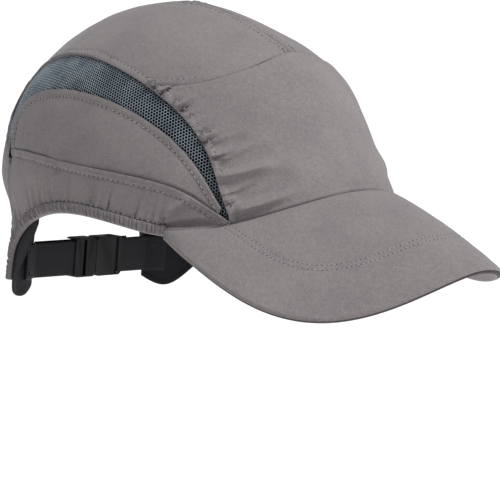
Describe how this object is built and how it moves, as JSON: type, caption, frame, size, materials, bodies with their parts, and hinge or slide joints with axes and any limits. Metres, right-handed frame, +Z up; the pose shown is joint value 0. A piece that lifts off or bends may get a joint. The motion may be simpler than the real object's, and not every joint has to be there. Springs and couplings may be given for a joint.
{
  "type": "bump cap",
  "caption": "Peaked bump cap: grey fabric and mesh panels over a vented plastic shell, curved visor, rear strap with a side-release clip.",
  "frame": {"origin": "centre of the head opening, level with the visor's corners", "axes": "+Z up through the crown, -Y towards the visor's tip, +X towards the wearer's left"},
  "size_m": [0.1801, 0.293, 0.1548],
  "materials": {
    "grey_fabric": "plain-weave polycotton, matt",
    "spacer_mesh": "open warp-knit polyester mesh",
    "edge_binding": "folded fabric edge, lightly gathered",
    "black_lining": "smooth black lining",
    "board_plastic": "polyethylene stiffener board",
    "rim_binding": "narrow folded binding",
    "terry_band": "short terry loop",
    "shell_plastic": "moulded high-density polyethylene, fine matt",
    "pad_foam": "closed-cell EVA foam with a skin",
    "webbing": "flat woven polypropylene webbing",
    "clip_plastic": "moulded acetal, satin"
  },
  "bodies": {
    "cap": {"front_panel": "grey_fabric", "crown_panel_left": "grey_fabric", "crown_panel_right": "grey_fabric", "mesh_left": "spacer_mesh", "mesh_right": "spacer_mesh", "side_panel_left": "grey_fabric", "side_panel_right": "grey_fabric", "lower_band_left": "grey_fabric", "lower_band_right": "grey_fabric", "ear_hem_left": "edge_binding", "ear_hem_right": "edge_binding", "rear_binding": "edge_binding", "tail_liner_left": "black_lining", "tail_liner_right": "black_lining", "visor_top_cover": "grey_fabric", "visor_board": "board_plastic", "visor_under_cover": "grey_fabric", "visor_rim": "rim_binding", "sweatband": "terry_band", "inner_shell": "shell_plastic", "crown_pad": "pad_foam", "front_pad": "pad_foam", "rear_pad": "pad_foam", "side_pad_left": "pad_foam", "side_pad_right": "pad_foam", "strap_left": "webbing", "strap_right": "webbing", "clip_housing": "clip_plastic"},
    "clip_male": {"clip_base": "clip_plastic"},
    "prong_upper": {"prong_upper": "clip_plastic"},
    "prong_lower": {"prong_lower": "clip_plastic"}
  },
  "joints": [
    {"name": "clip_release", "type": "slide", "parent": "cap", "child": "clip_male", "axis": [-1, 0, 0], "range_m": [0, 0.016], "deforming": ["strap_right", "prong_upper", "prong_lower"]},
    {"name": "upper_prong_squeeze", "type": "hinge", "parent": "clip_male", "child": "prong_upper", "pos_m": [0.0008, 0.07242, -0.0223], "axis": [0, 1, 0], "range_deg": [0, 8], "stiffness_Nm_per_rad": 0.5},
    {"name": "lower_prong_squeeze", "type": "hinge", "parent": "clip_male", "child": "prong_lower", "pos_m": [0.0008, 0.07242, -0.0353], "axis": [0, -1, 0], "range_deg": [0, 8], "stiffness_Nm_per_rad": 0.5}
  ],
  "couplings": [
    {"joint": "lower_prong_squeeze", "follows": "upper_prong_squeeze", "ratio": 1}
  ]
}
